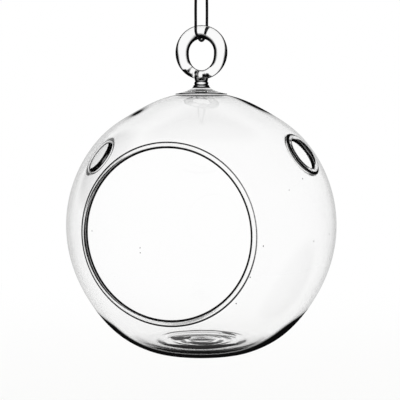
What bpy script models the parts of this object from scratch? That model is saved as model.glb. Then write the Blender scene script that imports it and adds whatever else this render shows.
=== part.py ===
"""Hanging glass globe planter.

A clear blown-glass globe with a round front mouth, two small side holes with
fire-polished rims and a flattened foot. A low crown, a short turned stem and a
bent-rod ring stand on its top. A thin cord runs double through the ring, up to
a knot and a hanging loop.

Metres, +Z up. The origin is the point under the top of the loop where a hook
bears. The front mouth faces -Y and the side holes face -X and +X.
"""
import math

import bmesh
import bpy
from mathutils import Matrix, Vector

# Fits
GAP = 0.0003

# Globe
GLOBE_RADIUS = 0.0750
GLOBE_HALF_HEIGHT = 0.0736
WALL = 0.0018
CROWN_CUT = 0.0014
FOOT_CUT = 0.0055
FLOOR_THICKNESS = 0.0030
FLOOR_SPREAD = math.radians(20.0)
CAVITY_SET_BACK = 0.00067
DIMPLE_RADIUS = 0.0100
DIMPLE_DEPTH = 0.0008
# Where the blown wall stands off an even oval: share of its size, angle from the top, and spread
WALL_SWELLS = (
    (-0.015, math.radians(30.0), math.radians(12.0)),
    (0.026, math.radians(146.0), math.radians(18.0)),
)

# Front mouth
MOUTH_RADIUS = 0.0437
MOUTH_RIM_RADIUS = 0.0016
MOUTH_AZIMUTH = 0.0
MOUTH_RISE = math.radians(1.5)

# Side holes
HOLE_RADIUS = 0.0090
HOLE_RIM_RADIUS = 0.00175
LEFT_HOLE_AZIMUTH = math.radians(-92.0)
LEFT_HOLE_RISE = math.radians(31.0)
RIGHT_HOLE_AZIMUTH = math.radians(79.0)
RIGHT_HOLE_RISE = math.radians(34.0)

# Crown, the low cone of glass under the stem
CROWN_HEIGHT = 0.0032
CROWN_RADIUS = 0.0142
CROWN_EDGE = 0.0004
CROWN_SWEEP = 1.6

# Stem
STEM_RADIUS = 0.0037
STEM_FOOT_RADIUS = 0.0052
STEM_HEIGHT = 0.0061
STEM_GROOVE = 0.0003
# Down the stem: share of its height, share of its flare, and 1 where a line is turned in
STEM_OUTLINE = (
    (1.00, 0.00, 0),
    (0.72, 0.00, 0),
    (0.60, 0.00, 1),
    (0.50, 0.10, 0),
    (0.40, 0.15, 0),
    (0.30, 0.20, 1),
    (0.20, 0.50, 0),
    (0.10, 0.70, 1),
    (0.00, 1.00, 0),
)

# Hanging ring, a bent glass rod
RING_OUTER_RADIUS = 0.0148
ROD_RADIUS = 0.0037
ROD_FOOT_RADIUS = 0.0025
STEM_WRAP = 0.0014

# Cord
CORD_RADIUS = 0.00075
STRAND_DROP = 0.0585
STRAND_OFFSET = 0.00095
BIGHT_OFFSET = 0.00170
CORD_STEP = 0.0037
KNOT_RADIUS = 0.0030
KNOT_HEIGHT = 0.0060
KNOT_WRAPS = 3
LOOP_HEIGHT = 0.0225

# Front strand below the knot: sideways, depth and height above the ring's centre
FRONT_STRAND = (
    (-0.00095, 0.00000, 0.0567),
    (-0.00112, -0.00020, 0.0530),
    (-0.00165, -0.00090, 0.0460),
    (-0.00205, -0.00210, 0.0380),
    (-0.00212, -0.00330, 0.0300),
    (-0.00195, -0.00420, 0.0225),
    (-0.00178, -0.00465, 0.0160),
)
# Half of the hanging loop: sideways and height above the knot
LOOP_SIDE = (
    (0.00095, 0.0018),
    (0.00150, 0.0050),
    (0.00290, 0.0090),
    (0.00420, 0.0130),
    (0.00470, 0.0165),
    (0.00395, 0.0201),
    (0.00215, 0.0225),
)

# Heights
KNOT_TOP_Z = CORD_RADIUS - LOOP_HEIGHT - GAP
KNOT_FOOT_Z = KNOT_TOP_Z - KNOT_HEIGHT
SWING_Z = KNOT_FOOT_Z - GAP - 2 * CORD_RADIUS
RING_Z = KNOT_FOOT_Z - STRAND_DROP
STEM_FOOT_Z = RING_Z - RING_OUTER_RADIUS + STEM_WRAP - STEM_HEIGHT
CROWN_FOOT_Z = STEM_FOOT_Z - GAP - CROWN_HEIGHT
SEAT_Z = CROWN_FOOT_Z - GAP
GLOBE_Z = SEAT_Z - GLOBE_HALF_HEIGHT + CROWN_CUT

# Facets
GLOBE_SEGMENTS = 60
GLOBE_RINGS = 22
SMALL_SEGMENTS = 32
RIM_SEGMENTS = 8
CROWN_STEPS = 5
BIGHT_STEPS = 8
WRAP_STEPS = 6


def clear_scene():
    for item in list(bpy.data.objects):
        bpy.data.objects.remove(item, do_unlink=True)


def principled(name, colour, roughness, transmission=0.0):
    material = bpy.data.materials.new(name)
    material.use_nodes = True
    shader = material.node_tree.nodes["Principled BSDF"]
    shader.inputs["Base Color"].default_value = (*colour, 1.0)
    shader.inputs["Roughness"].default_value = roughness
    shader.inputs["Metallic"].default_value = 0.0
    shader.inputs["Transmission Weight"].default_value = transmission
    material.diffuse_color = (*colour, 1.0)
    return material


def glass(name):
    return principled(name, (0.93, 0.96, 0.95), 0.03, transmission=1.0)


def cord_fibre(name):
    return principled(name, (0.012, 0.012, 0.013), 0.7)


def object_from_mesh(name, bm, material=None):
    bmesh.ops.recalc_face_normals(bm, faces=bm.faces)
    mesh = bpy.data.meshes.new(name)
    bm.to_mesh(mesh)
    bm.free()
    mesh.shade_smooth()
    mesh.set_sharp_from_angle(angle=math.radians(35.0))
    if material:
        mesh.materials.append(material)
    item = bpy.data.objects.new(name, mesh)
    bpy.context.scene.collection.objects.link(item)
    return item


def turned(name, profile, segments, material=None):
    """Spin a profile of (radius, height) pairs round the vertical axis."""
    bm = bmesh.new()
    verts = [bm.verts.new((radius, 0.0, height)) for radius, height in profile]
    edges = [bm.edges.new(pair) for pair in zip(verts, verts[1:])]
    bmesh.ops.spin(bm, geom=verts + edges, axis=(0, 0, 1), cent=(0, 0, 0),
                   angle=2 * math.pi, steps=segments, use_merge=True)
    bmesh.ops.remove_doubles(bm, verts=bm.verts, dist=1e-6)
    return object_from_mesh(name, bm, material)


def torus(name, major, minor, segments):
    """A ring of round section about the vertical axis."""
    bm = bmesh.new()
    verts = []
    for index in range(RIM_SEGMENTS):
        turn = 2 * math.pi * index / RIM_SEGMENTS
        verts.append(bm.verts.new((major + minor * math.cos(turn), 0.0, minor * math.sin(turn))))
    edges = [bm.edges.new((verts[index - 1], verts[index])) for index in range(RIM_SEGMENTS)]
    bmesh.ops.spin(bm, geom=verts + edges, axis=(0, 0, 1), cent=(0, 0, 0),
                   angle=2 * math.pi, steps=segments, use_merge=True)
    bmesh.ops.remove_doubles(bm, verts=bm.verts, dist=1e-6)
    return object_from_mesh(name, bm)


def cylinder(name, radius, depth, segments):
    bm = bmesh.new()
    bmesh.ops.create_cone(bm, cap_ends=True, segments=segments, radius1=radius,
                          radius2=radius, depth=depth)
    return object_from_mesh(name, bm)


def make_tool(item):
    item.hide_render = True
    item.display_type = "WIRE"


def boolean(item, tool, operation):
    make_tool(tool)
    modifier = item.modifiers.new(tool.name, "BOOLEAN")
    modifier.operation = operation
    modifier.solver = "EXACT"
    modifier.object = tool


def direction(azimuth, rise):
    """Unit vector: azimuth 0 is -Y, positive towards +X; rise is above level."""
    level = math.cos(rise)
    return Vector((math.sin(azimuth) * level, -math.cos(azimuth) * level, math.sin(rise)))


def wall_at(polar):
    """Wall thickness at an angle from the top pole, growing towards the foot."""
    bottom = FOOT_CUT + FLOOR_THICKNESS
    spread = math.exp(-((math.pi - polar) / FLOOR_SPREAD) ** 2)
    return WALL + (bottom - WALL) * spread


def outer_point(polar):
    size = 1 + sum(share * math.exp(-((polar - middle) / spread) ** 2)
                   for share, middle, spread in WALL_SWELLS)
    return GLOBE_RADIUS * math.sin(polar) * size, GLOBE_HALF_HEIGHT * math.cos(polar) * size


def inner_point(polar):
    radius, height = outer_point(polar)
    normal = Vector((math.sin(polar) / GLOBE_RADIUS, math.cos(polar) / GLOBE_HALF_HEIGHT))
    normal.normalize()
    wall = wall_at(polar)
    return max(radius - wall * normal.x, 0.0), height - wall * normal.y


def angle_at(height, point, low, high):
    """Angle from the top pole, between low and high, at which a wall's points pass a height."""
    for _ in range(40):
        middle = (low + high) / 2
        if point(middle)[1] > height:
            low = middle
        else:
            high = middle
    return low


def globe_profile():
    """Outside of the globe, from the flat seat down to the dimple in the foot."""
    seat = GLOBE_HALF_HEIGHT - CROWN_CUT
    foot = GLOBE_HALF_HEIGHT - FOOT_CUT
    first = angle_at(seat, outer_point, 0.0, math.pi / 2)
    last = angle_at(-foot, outer_point, math.pi / 2, math.pi)
    points = [(0.0, seat)]
    for index in range(GLOBE_RINGS + 1):
        points.append(outer_point(first + (last - first) * index / GLOBE_RINGS))
    points.append((DIMPLE_RADIUS, -foot))
    points.append((DIMPLE_RADIUS * 0.5, -foot + DIMPLE_DEPTH * 0.8))
    points.append((0.0, -foot + DIMPLE_DEPTH))
    return points


def cavity_profile():
    """Inside of the globe, with a flat under the seat."""
    ceiling = GLOBE_HALF_HEIGHT - CROWN_CUT - WALL
    first = angle_at(ceiling, inner_point, 0.0, math.pi / 2)
    points = [(0.0, ceiling)]
    for index in range(GLOBE_RINGS + 1):
        points.append(inner_point(first + (math.pi - first) * index / GLOBE_RINGS))
    return points


def opening(globe, name, azimuth, rise, radius, rim_radius, segments):
    """Cut a round opening through the wall and melt a bead round its edge.

    The bead is turned a quarter of a facet, so that its facet lines cross the globe's cleanly.
    """
    axis = direction(azimuth, rise)
    quarter_facet = Matrix.Rotation(0.25 * 2 * math.pi / segments, 4, "Z")
    turn = axis.to_track_quat("Z", "Y").to_matrix().to_4x4() @ quarter_facet
    bead = radius + rim_radius
    middle = 1 / math.hypot(math.cos(rise) / GLOBE_RADIUS, math.sin(rise) / GLOBE_HALF_HEIGHT)
    reach = math.sqrt((middle - WALL / 2) ** 2 - bead ** 2)
    seat = Matrix.Translation(axis * reach) @ turn
    depth = GLOBE_RADIUS - reach + 2 * (WALL + rim_radius)
    cutter = cylinder(name + "_cutter", bead, 2 * depth, segments)
    cutter.data.transform(seat)
    boolean(globe, cutter, "DIFFERENCE")
    rim = torus(name + "_rim", bead, rim_radius, segments)
    rim.data.transform(seat)
    boolean(globe, rim, "UNION")
    return cutter, rim


def build_globe():
    globe = turned("glass_globe", globe_profile(), GLOBE_SEGMENTS, glass("globe_glass"))
    cavity = turned("cavity_cutter", cavity_profile(), GLOBE_SEGMENTS)
    cavity.data.transform(Matrix.Translation((0.0, CAVITY_SET_BACK, 0.0)))
    boolean(globe, cavity, "DIFFERENCE")
    pieces = [globe, cavity]
    pieces += opening(globe, "mouth", MOUTH_AZIMUTH, MOUTH_RISE, MOUTH_RADIUS,
                     MOUTH_RIM_RADIUS, GLOBE_SEGMENTS)
    pieces += opening(globe, "left_hole", LEFT_HOLE_AZIMUTH, LEFT_HOLE_RISE, HOLE_RADIUS,
                     HOLE_RIM_RADIUS, SMALL_SEGMENTS)
    pieces += opening(globe, "right_hole", RIGHT_HOLE_AZIMUTH, RIGHT_HOLE_RISE, HOLE_RADIUS,
                     HOLE_RIM_RADIUS, SMALL_SEGMENTS)
    return pieces


def build_crown():
    """A low cone of glass whose upper face sweeps out from the stem to a thin edge."""
    slope = CROWN_HEIGHT - CROWN_EDGE
    spread = CROWN_RADIUS - STEM_FOOT_RADIUS
    profile = [(0.0, CROWN_HEIGHT)]
    for index in range(CROWN_STEPS + 1):
        share = index / CROWN_STEPS
        sweep = (1 - share) ** CROWN_SWEEP
        profile.append((STEM_FOOT_RADIUS + spread * share, CROWN_EDGE + slope * sweep))
    profile.append((CROWN_RADIUS, 0.0))
    profile.append((0.0, 0.0))
    return turned("crown", profile, SMALL_SEGMENTS, glass("crown_glass"))


def build_stem():
    """A short turned stem, saddled to the ring at its top and flared at its foot."""
    flare = STEM_FOOT_RADIUS - STEM_RADIUS
    profile = [(0.0, STEM_HEIGHT)]
    for height, widening, groove in STEM_OUTLINE:
        profile.append((STEM_RADIUS + flare * widening - STEM_GROOVE * groove, STEM_HEIGHT * height))
    profile.append((0.0, 0.0))
    stem = turned("stem", profile, SMALL_SEGMENTS, glass("stem_glass"))
    saddle = torus("stem_saddle", RING_OUTER_RADIUS - ROD_FOOT_RADIUS, ROD_FOOT_RADIUS + GAP,
                   GLOBE_SEGMENTS)
    upright = Matrix.Rotation(math.radians(90.0), 4, "X")
    saddle.data.transform(Matrix.Translation((0.0, 0.0, RING_Z - STEM_FOOT_Z)) @ upright)
    boolean(stem, saddle, "DIFFERENCE")
    return stem, saddle


def rod_radius(turn):
    """Rod radius at an angle from the ring's top: full over the top half, thinner at the foot."""
    share = max(0.0, (abs(turn) - math.pi / 2) / (math.pi / 2))
    ease = share * share * (3 - 2 * share)
    return ROD_RADIUS + (ROD_FOOT_RADIUS - ROD_RADIUS) * ease


def build_ring():
    curve = bpy.data.curves.new("hanging_ring", "CURVE")
    curve.dimensions = "3D"
    curve.bevel_depth = ROD_RADIUS
    curve.bevel_resolution = 5
    spline = curve.splines.new("POLY")
    spline.points.add(GLOBE_SEGMENTS - 1)
    spline.use_cyclic_u = True
    for index, point in enumerate(spline.points):
        turn = 2 * math.pi * index / GLOBE_SEGMENTS
        turn = turn - 2 * math.pi if turn > math.pi else turn
        rod = rod_radius(turn)
        reach = RING_OUTER_RADIUS - rod
        point.co = (reach * math.sin(turn), 0.0, reach * math.cos(turn), 1.0)
        point.radius = rod / ROD_RADIUS
    curve.materials.append(glass("ring_glass"))
    ring = bpy.data.objects.new("hanging_ring", curve)
    bpy.context.scene.collection.objects.link(ring)
    return ring


def smooth_route(points, step):
    """Points along a smooth curve through the given points, about one step apart."""
    ends = [2 * points[0] - points[1]] + points + [2 * points[-1] - points[-2]]
    route = []
    for before, start, stop, after in zip(ends, ends[1:], ends[2:], ends[3:]):
        count = max(1, round((stop - start).length / step))
        for index in range(count):
            share = index / count
            route.append(0.5 * (2 * start + (stop - before) * share
                                + (2 * before - 5 * start + 4 * stop - after) * share ** 2
                                + (3 * start - before - 3 * stop + after) * share ** 3))
    route.append(points[-1])
    return route


def cord_tube(name, route):
    curve = bpy.data.curves.new(name, "CURVE")
    curve.dimensions = "3D"
    curve.bevel_depth = CORD_RADIUS
    curve.bevel_resolution = 2
    curve.use_fill_caps = True
    spline = curve.splines.new("POLY")
    spline.points.add(len(route) - 1)
    for point, spot in zip(spline.points, route):
        point.co = (*spot, 1.0)
    curve.materials.append(cord_fibre(name + "_fibre"))
    tube = bpy.data.objects.new(name, curve)
    bpy.context.scene.collection.objects.link(tube)
    return tube


def bight():
    """The turn of cord under the ring's top, from front left to back right."""
    hug = ROD_RADIUS + GAP + CORD_RADIUS
    reach = RING_OUTER_RADIUS - ROD_RADIUS
    lean = math.asin(BIGHT_OFFSET / reach)
    points = []
    for index in range(BIGHT_STEPS + 1):
        turn = math.pi * index / BIGHT_STEPS
        side = lean * (2 * index / BIGHT_STEPS - 1)
        out = reach - hug * math.sin(turn)
        points.append(Vector((out * math.sin(side), -hug * math.cos(turn), out * math.cos(side))))
    return points


def build_strands():
    """Both strands and the bight between them, in the ring's frame."""
    top = Vector((-STRAND_OFFSET, 0.0, STRAND_DROP - GAP))
    front = [top] + [Vector(point) for point in FRONT_STRAND]
    back = [Vector((-point.x, -point.y, point.z)) for point in reversed(front)]
    return cord_tube("cord_strands", smooth_route(front + bight() + back, CORD_STEP))


def build_knot():
    """A barrel of cord wraps round the two strands."""
    flat = KNOT_RADIUS - CORD_RADIUS
    pitch = KNOT_HEIGHT / KNOT_WRAPS
    profile = [(0.0, KNOT_HEIGHT)]
    for wrap in range(KNOT_WRAPS):
        middle = KNOT_HEIGHT - pitch * (wrap + 0.5)
        for index in range(WRAP_STEPS + 1):
            turn = math.pi * (0.5 - index / WRAP_STEPS)
            bulge = CORD_RADIUS * math.cos(turn)
            profile.append((flat + bulge, middle + pitch / 2 * math.sin(turn)))
    profile.append((0.0, 0.0))
    return turned("cord_knot", profile, SMALL_SEGMENTS // 2, cord_fibre("knot_fibre"))


def build_loop():
    """The hanging loop, in the frame of the knot's top."""
    side = [Vector((STRAND_OFFSET, 0.0, GAP))]
    side += [Vector((across, 0.0, height)) for across, height in LOOP_SIDE]
    top = Vector((0.0, 0.0, LOOP_HEIGHT + GAP))
    other = [Vector((-point.x, 0.0, point.z)) for point in reversed(side)]
    return cord_tube("cord_loop", smooth_route(side + [top] + other, CORD_STEP / 2))


def height_of(item):
    """Height of an item that hangs on a chain of pivots, in the whole object's frame."""
    return item.location.z + height_of(item.parent) if item else 0.0


def hang(item, height, parent=None):
    """Hang an item on a pivot, at a height given in the whole object's frame."""
    item.parent = parent
    item.location = (0.0, 0.0, height - height_of(parent))
    return item


def pivot(name, height, parent=None):
    marker = bpy.data.objects.new(name, None)
    marker.empty_display_size = 0.01
    bpy.context.scene.collection.objects.link(marker)
    return hang(marker, height, parent)


def build():
    clear_scene()
    twist = pivot("twist_pivot", KNOT_TOP_Z)
    swing = pivot("swing_pivot", SWING_Z, twist)
    sway = pivot("sway_pivot", RING_Z, swing)
    hang(build_loop(), KNOT_TOP_Z)
    hang(build_knot(), KNOT_FOOT_Z, twist)
    hang(build_strands(), RING_Z, swing)
    hang(build_ring(), RING_Z, sway)
    for item in build_stem():
        hang(item, STEM_FOOT_Z, sway)
    hang(build_crown(), CROWN_FOOT_Z, sway)
    for item in build_globe():
        hang(item, GLOBE_Z, sway)
    bpy.context.view_layer.update()


build()
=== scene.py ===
import math

import bmesh
import bpy
import numpy as np
from bpy.props import FloatProperty, FloatVectorProperty, IntProperty, PointerProperty
from bpy.types import Operator, Panel, PropertyGroup
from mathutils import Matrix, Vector


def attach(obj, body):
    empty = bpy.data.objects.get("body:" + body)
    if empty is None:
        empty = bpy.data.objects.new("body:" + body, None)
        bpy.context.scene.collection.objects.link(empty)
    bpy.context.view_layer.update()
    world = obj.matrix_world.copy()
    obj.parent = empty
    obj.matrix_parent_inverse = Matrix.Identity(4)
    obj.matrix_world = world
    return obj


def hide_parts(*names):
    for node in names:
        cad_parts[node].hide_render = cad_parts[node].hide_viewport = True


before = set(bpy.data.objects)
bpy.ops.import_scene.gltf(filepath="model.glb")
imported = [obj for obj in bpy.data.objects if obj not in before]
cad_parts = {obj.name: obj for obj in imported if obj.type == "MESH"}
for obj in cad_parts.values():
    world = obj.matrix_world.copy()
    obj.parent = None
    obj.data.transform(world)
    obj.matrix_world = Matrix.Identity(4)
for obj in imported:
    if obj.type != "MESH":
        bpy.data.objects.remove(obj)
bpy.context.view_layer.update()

bl_info = {
    "name": "Hanging glass planter",
    "version": (1, 0, 0),
    "blender": (4, 5, 0),
    "location": "3D View > Sidebar > Planter",
    "description": "A blown glass globe with three openings, hung by its ring from a black cord",
    "category": "Object",
}

PLANTER = "planter"


def length(name, default, description):
    return FloatProperty(name=name, default=default, description=description,
                         min=0.0, precision=5, subtype="DISTANCE", unit="LENGTH")


def level(name, default, description):
    return FloatProperty(name=name, default=default, description=description,
                         precision=5, unit="LENGTH")


def angle(name, degrees, description):
    return FloatProperty(name=name, default=math.radians(degrees), description=description,
                         subtype="ANGLE", unit="ROTATION")


def colour(name, default, description):
    return FloatVectorProperty(name=name, default=default, description=description,
                               subtype="COLOR", size=3, min=0.0, max=1.0)


def amount(name, default, description, low=0.0, high=1.0):
    return FloatProperty(name=name, default=default, description=description,
                         min=low, max=high, precision=3)


def count(name, default, low, high, description):
    return IntProperty(name=name, default=default, min=low, max=high, description=description)


class GlobeSettings(PropertyGroup):
    """Sizes of the blown globe"""

    radius: length("Radius", 0.0750, "Outside radius of the globe at its widest")
    half_height: length("Half height", 0.0736, "Outside half height before it is cut flat")
    wall: length("Wall", 0.0018, "Wall thickness away from the foot")
    crown_cut: length("Crown cut", 0.0014, "Height of glass flattened off the top")
    foot_cut: length("Foot cut", 0.0055, "Height of glass flattened off the foot")
    floor: length("Floor", 0.0030, "Thickness of the glass in the middle of the foot")
    floor_spread: angle("Floor spread", 20.0, "How far the thick floor reaches up the wall")
    set_back: length("Cavity set back", 0.00067, "How far back the hollow stands")
    dimple_radius: length("Dimple radius", 0.0100, "Radius of the dimple under the foot")
    dimple_depth: length("Dimple depth", 0.0008, "Depth of the dimple under the foot")
    centre: level("Centre height", -0.18205, "Height of the centre, from the hang point")
    segments: count("Segments", 192, 24, 256, "Facets round the globe")
    rings: count("Rings", 112, 16, 160, "Facets from top to foot")


class OpeningSettings(PropertyGroup):
    """Sizes of the mouth and the side holes"""

    mouth_radius: length("Mouth radius", 0.0437, "Clear radius of the front mouth")
    mouth_bead: length("Mouth bead", 0.0016, "Radius of the melted bead round the mouth")
    mouth_rise: angle("Mouth rise", 1.5, "How far the mouth looks up")
    hole_radius: length("Hole radius", 0.0090, "Clear radius of each side hole")
    hole_bead: length("Hole bead", 0.00175, "Radius of the melted bead round a side hole")
    left_azimuth: angle("Left azimuth", -92.0, "Direction of the left hole, from the mouth")
    left_rise: angle("Left rise", 31.0, "Height of the left hole above level")
    right_azimuth: angle("Right azimuth", 79.0, "Direction of the right hole, from the mouth")
    right_rise: angle("Right rise", 34.0, "Height of the right hole above level")


class NeckSettings(PropertyGroup):
    """Sizes of the crown, stem and ring"""

    crown_height: length("Crown height", 0.0032, "Height of the low cone under the stem")
    crown_radius: length("Crown radius", 0.0142, "Radius of the low cone at its foot")
    crown_edge: length("Crown edge", 0.0004, "Thickness of the cone's edge")
    crown_sweep: amount("Crown sweep", 1.6, "How hollow the cone's flank is", 1.0, 3.0)
    crown_foot: level("Crown foot", -0.10955, "Height of the crown's foot")
    stem_radius: length("Stem radius", 0.0037, "Radius of the stem under the ring")
    stem_foot_radius: length("Stem foot radius", 0.0052, "Radius of the stem at the crown")
    stem_height: length("Stem height", 0.0061, "Height of the stem")
    stem_groove: length("Stem groove", 0.0003, "Depth of the lines turned into the stem")
    stem_foot: level("Stem foot", -0.10605, "Height of the stem's foot")
    ring_radius: length("Ring radius", 0.0148, "Outside radius of the hanging ring")
    rod: length("Rod radius", 0.0037, "Radius of the ring's rod over its top half")
    rod_foot: length("Rod foot radius", 0.0025, "Radius of the rod where it meets the stem")
    ring_centre: level("Ring centre", -0.08655, "Height of the ring's centre")
    gap: length("Fit gap", 0.0003, "Gap between the stem's saddle and the rod")


class CordSettings(PropertyGroup):
    """Sizes and colour of the cord"""

    diameter: length("Diameter", 0.0015, "Diameter of the cord")
    knot_radius: length("Knot radius", 0.0030, "Radius of the wrapped knot")
    knot_height: length("Knot height", 0.0060, "Height of the wrapped knot")
    knot_top: level("Knot top", -0.02205, "Height of the knot's top")
    wraps: count("Wraps", 3, 2, 8, "Turns of cord in the knot")
    fibre: colour("Fibre", (0.003, 0.003, 0.0035), "Colour of the cord")
    wax: colour("Wax", (0.009, 0.009, 0.0095), "Colour where the wax catches on the yarns")


class GlassSettings(PropertyGroup):
    """Finish of the glass, with the shade painted along its edges"""

    body: colour("Body", (1.0, 1.0, 1.0), "Colour of clear glass seen straight on")
    # Edge: the near-black painted as shade where the glass turns away from view, in place of the
    # dark surroundings that real glass edges refract and reflect
    edge: colour("Edge", (0.004, 0.004, 0.004), "Colour of glass seen along its surface")
    glint: colour("Glint", (0.3, 0.3, 0.3), "Colour of what glass reflects, seen straight on")
    depth_colour: colour("Depth colour", (0.505, 0.505, 0.495), "Colour thick glass absorbs to")
    depth: amount("Depth", 11.0, "How fast thick glass darkens, per metre", 0.0, 200.0)


class StageSettings(PropertyGroup):
    """Camera, floor and light"""

    lens: FloatProperty(name="Lens", default=97.3, min=20.0, max=300.0, unit="CAMERA",
                        description="Focal length on a 36 mm sensor")
    azimuth: angle("Camera azimuth", 17.15, "Direction the camera stands in, from the front")
    distance: length("Camera distance", 0.600, "Level distance from the globe's axis")
    above: length("Camera height", 0.0704, "Height of the camera above the globe's centre")
    pitch: angle("Camera pitch", 5.38, "How far the camera looks down")
    shift: amount("Camera shift", -0.0033, "Sideways framing", -0.1, 0.1)
    floor_height: level("Floor height", -0.42, "Height of the floor")
    floor_colour: colour("Floor", (0.90, 0.90, 0.895), "Colour of the floor")


def settings(name):
    return getattr(bpy.context.scene, "planter_" + name)


def direction(azimuth, rise):
    """Unit vector: azimuth 0 is -Y, positive towards +X; rise is above level."""
    flat = math.cos(rise)
    return Vector((math.sin(azimuth) * flat, -math.cos(azimuth) * flat, math.sin(rise)))


def upright(height):
    """A point on the hanging axis."""
    return Vector((0.0, 0.0, height))


def soft_step(share):
    return share * share * (3 - 2 * share)


def eased(value, low, high):
    """0 below low, 1 above high, and a soft step between."""
    return soft_step(np.clip((value - low) / (high - low), 0.0, 1.0))


def peak(value, middle, spread):
    """1 at the middle, and softly down to 0 on both sides."""
    return np.exp(-((value - middle) / spread) ** 2)


# Working by hand in code

ORIGIN = (0.0, 0.0, 0.0)
# Points nearer than this are one point
TOUCHING = 1e-6


def start():
    """Leave edit mode and let go of everything."""
    if bpy.context.object and bpy.context.object.mode != "OBJECT":
        bpy.ops.object.mode_set(mode="OBJECT")
    bpy.ops.object.select_all(action="DESELECT")


def take(item):
    start()
    item.select_set(True)
    bpy.context.view_layer.objects.active = item


def edit(item):
    take(item)
    bpy.ops.object.mode_set(mode="EDIT")
    bpy.ops.mesh.select_mode(type="VERT")
    return bmesh.from_edit_mesh(item.data)


def edit_all(item):
    edit(item)
    bpy.ops.mesh.select_all(action="SELECT")


def leave():
    bpy.ops.object.mode_set(mode="OBJECT")


def added(add, name, **values):
    """The new object that an operator adds."""
    start()
    add(**values)
    item = bpy.context.object
    item.name = item.data.name = name
    return item


def weld(item, nearness=TOUCHING):
    """Merge the points that touch and turn every face outwards."""
    edit_all(item)
    bpy.ops.mesh.remove_doubles(threshold=nearness)
    bpy.ops.mesh.normals_make_consistent(inside=False)
    leave()


def pick_rims(item, wanted=None):
    """Select the open edges of a mesh in edit mode, all or the wanted ones."""
    shape = bmesh.from_edit_mesh(item.data)
    for edge in shape.edges:
        if edge.is_boundary and (wanted is None or wanted(edge)):
            edge.select_set(True)
    bmesh.update_edit_mesh(item.data)


def drawn_line(name, points):
    """A line of edges, drawn by extruding one point through the others."""
    item = added(bpy.ops.mesh.primitive_plane_add, name, size=0.001, location=ORIGIN)
    edit_all(item)
    bpy.ops.mesh.merge(type="CENTER")
    bpy.ops.transform.translate(value=Vector(points[0]))
    for before, after in zip(points, points[1:]):
        step = Vector(after) - Vector(before)
        bpy.ops.mesh.extrude_vertices_move(TRANSFORM_OT_translate={"value": step})
    leave()
    return item


def turned(name, profile, steps):
    """Spin a line of (radius, height) pairs round the vertical axis into a closed shape."""
    item = drawn_line(name, [(radius, 0.0, height) for radius, height in profile])
    edit_all(item)
    bpy.ops.mesh.spin(steps=steps, angle=2 * math.pi, center=ORIGIN, axis=(0.0, 0.0, 1.0))
    leave()
    weld(item)
    return item


def cut(item, tool):
    """Cut with a tool and throw the tool away."""
    take(item)
    modifier = item.modifiers.new("cut", "BOOLEAN")
    modifier.operation = "DIFFERENCE"
    modifier.solver = "EXACT"
    modifier.object = tool
    bpy.ops.object.modifier_apply(modifier=modifier.name)
    bpy.data.objects.remove(tool, do_unlink=True)


def finish_smooth(item, material, body):
    """Smooth a piece, give it its material and hang it on its body."""
    take(item)
    bpy.ops.object.shade_smooth()
    item.data.materials.clear()
    item.data.materials.append(material)
    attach(item, body)


# Painted shade along the edges of the glass

# Point attributes of a mesh that the glass reads: where the shade painted along its edge begins
# and ends
EDGE_SHADE_MARKS = ("edge_shade_from", "edge_shade_to")


class Edges:
    """How far the glass turns away, point by point, where the shade painted along its edge begins
    and ends.
    """

    def __init__(self, item, origin, begins, ends):
        self.item = item
        spots = np.zeros(len(item.data.vertices) * 3)
        item.data.vertices.foreach_get("co", spots)
        self.spots = spots.reshape(-1, 3) - np.array((0.0, 0.0, origin))
        self.begins = np.full(len(self.spots), begins)
        self.ends = np.full(len(self.spots), ends)

    def zone(self, weight, begins, ends):
        self.begins += (begins - self.begins) * weight
        self.ends += (ends - self.ends) * weight

    def mark(self):
        for name, values in zip(EDGE_SHADE_MARKS, (self.begins, self.ends)):
            mark = self.item.data.attributes.new(name, "FLOAT", "POINT")
            mark.data.foreach_set("value", values)


# Materials

def new_material(name):
    material = bpy.data.materials.new(name)
    material.use_nodes = True
    tree = material.node_tree
    return material, tree, tree.nodes["Principled BSDF"], tree.nodes["Material Output"]


def feed(tree, fed, sockets):
    """Link the sockets of a node to what feeds them, or set their constants."""
    for socket, value in sockets.items():
        if isinstance(value, bpy.types.NodeSocket):
            tree.links.new(value, fed.inputs[socket])
        else:
            fed.inputs[socket].default_value = value


def node(tree, kind, label, sockets=None, **values):
    """A new node with its properties set and its sockets fed."""
    made = tree.nodes.new(kind)
    made.label = label
    for key, value in values.items():
        setattr(made, key, value)
    feed(tree, made, sockets or {})
    return made


def ranged(tree, label, value, low=0.0, high=1.0, to_low=0.0, to_high=1.0, curve="LINEAR"):
    """A value carried from one range over to another."""
    sockets = {"Value": value, "From Min": low, "From Max": high,
               "To Min": to_low, "To Max": to_high}
    made = node(tree, "ShaderNodeMapRange", label, sockets, interpolation_type=curve)
    return made.outputs["Result"]


def mixed(tree, label, share, first, second, colours=False):
    """A blend of two numbers or two colours."""
    kind, slot, result = ("RGBA", 6, 2) if colours else ("FLOAT", 2, 0)
    sockets = {"Factor": share, slot: first, slot + 1: second}
    return node(tree, "ShaderNodeMix", label, sockets, data_type=kind).outputs[result]


def worked_out(tree, label, operation, *values):
    """The result of one step of arithmetic."""
    made = node(tree, "ShaderNodeMath", label, dict(enumerate(values)), operation=operation)
    return made.outputs["Value"]


# Clear glass: its refraction, the waves in its surface, and the smears that dull it
GLASS_IOR = 1.5
GLASS_SHINE = 0.5
WAVE_SCALE, WAVE_DETAIL = 38.0, 1.0
WAVES = {"globe": 0.00012, "crown": 0.00002, "stem": 0.00002, "ring": 0.00003}
SMEAR_SCALE, SMEAR_DETAIL = 90.0, 4.0
SMEAR_BAND = (0.62, 0.85)
SMEAR_ROUGHNESS = 0.03


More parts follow.
